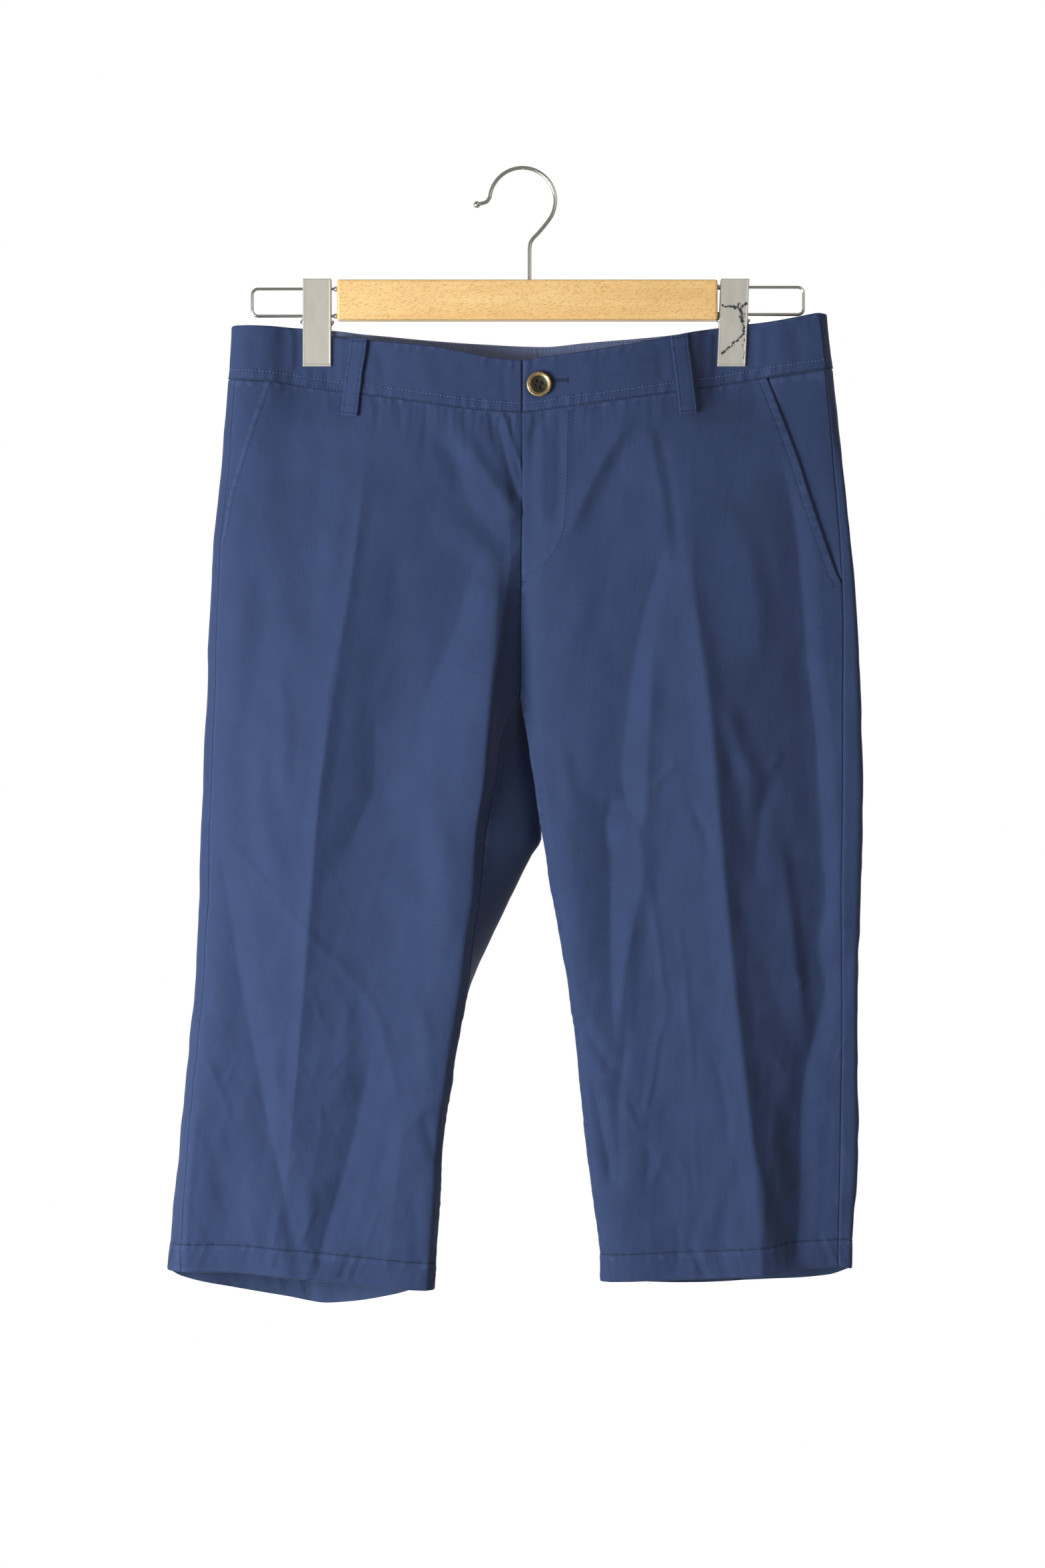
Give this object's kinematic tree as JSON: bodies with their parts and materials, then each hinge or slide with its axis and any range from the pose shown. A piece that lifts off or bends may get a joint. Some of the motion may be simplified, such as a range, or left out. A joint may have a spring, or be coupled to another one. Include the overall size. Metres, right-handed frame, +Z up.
{
  "type": "capri pants on a clip hanger",
  "caption": "Cropped cotton trousers with slanted pockets, belt loops and a fly front, hung flat by the waistband from the sprung clips of a wood and wire hanger.",
  "frame": {"origin": "highest point inside the hanger's hook, where a rail carries it", "axes": "+Z up, the garment's front faces -Y, the wearer's left is +X"},
  "size_m": [0.4756, 0.0653, 0.7793],
  "materials": {
    "navy_cotton": "matte plain-weave cotton, slate navy",
    "horn_button": "dark horn-look face with an antique brass rim",
    "beech_wood": "satin clear lacquer",
    "steel_wire": "bright drawn wire",
    "nickel_clip": "bright nickel plate"
  },
  "bodies": {
    "root": {"front_right": "navy_cotton", "front_left": "navy_cotton", "back_right": "navy_cotton", "back_left": "navy_cotton", "pocket_side_right": "navy_cotton", "pocket_side_left": "navy_cotton", "waistband_back": "navy_cotton", "waistband_front_left": "navy_cotton", "waistband_front_right": "navy_cotton", "belt_loop_front_right": "navy_cotton", "belt_loop_front_left": "navy_cotton", "belt_loop_back_right": "navy_cotton", "belt_loop_back_left": "navy_cotton", "belt_loop_back_centre": "navy_cotton", "waist_button": "horn_button", "hanger_bar": "beech_wood", "hanger_hook": "steel_wire", "hook_tip_ball": "steel_wire", "hanger_loop_left": "steel_wire", "hanger_loop_right": "steel_wire", "clip_left_front": "nickel_clip", "clip_left_back": "nickel_clip", "clip_left_spring": "steel_wire", "clip_right_front": "nickel_clip", "clip_right_back": "nickel_clip", "clip_right_spring": "steel_wire"}
  },
  "joints": []
}
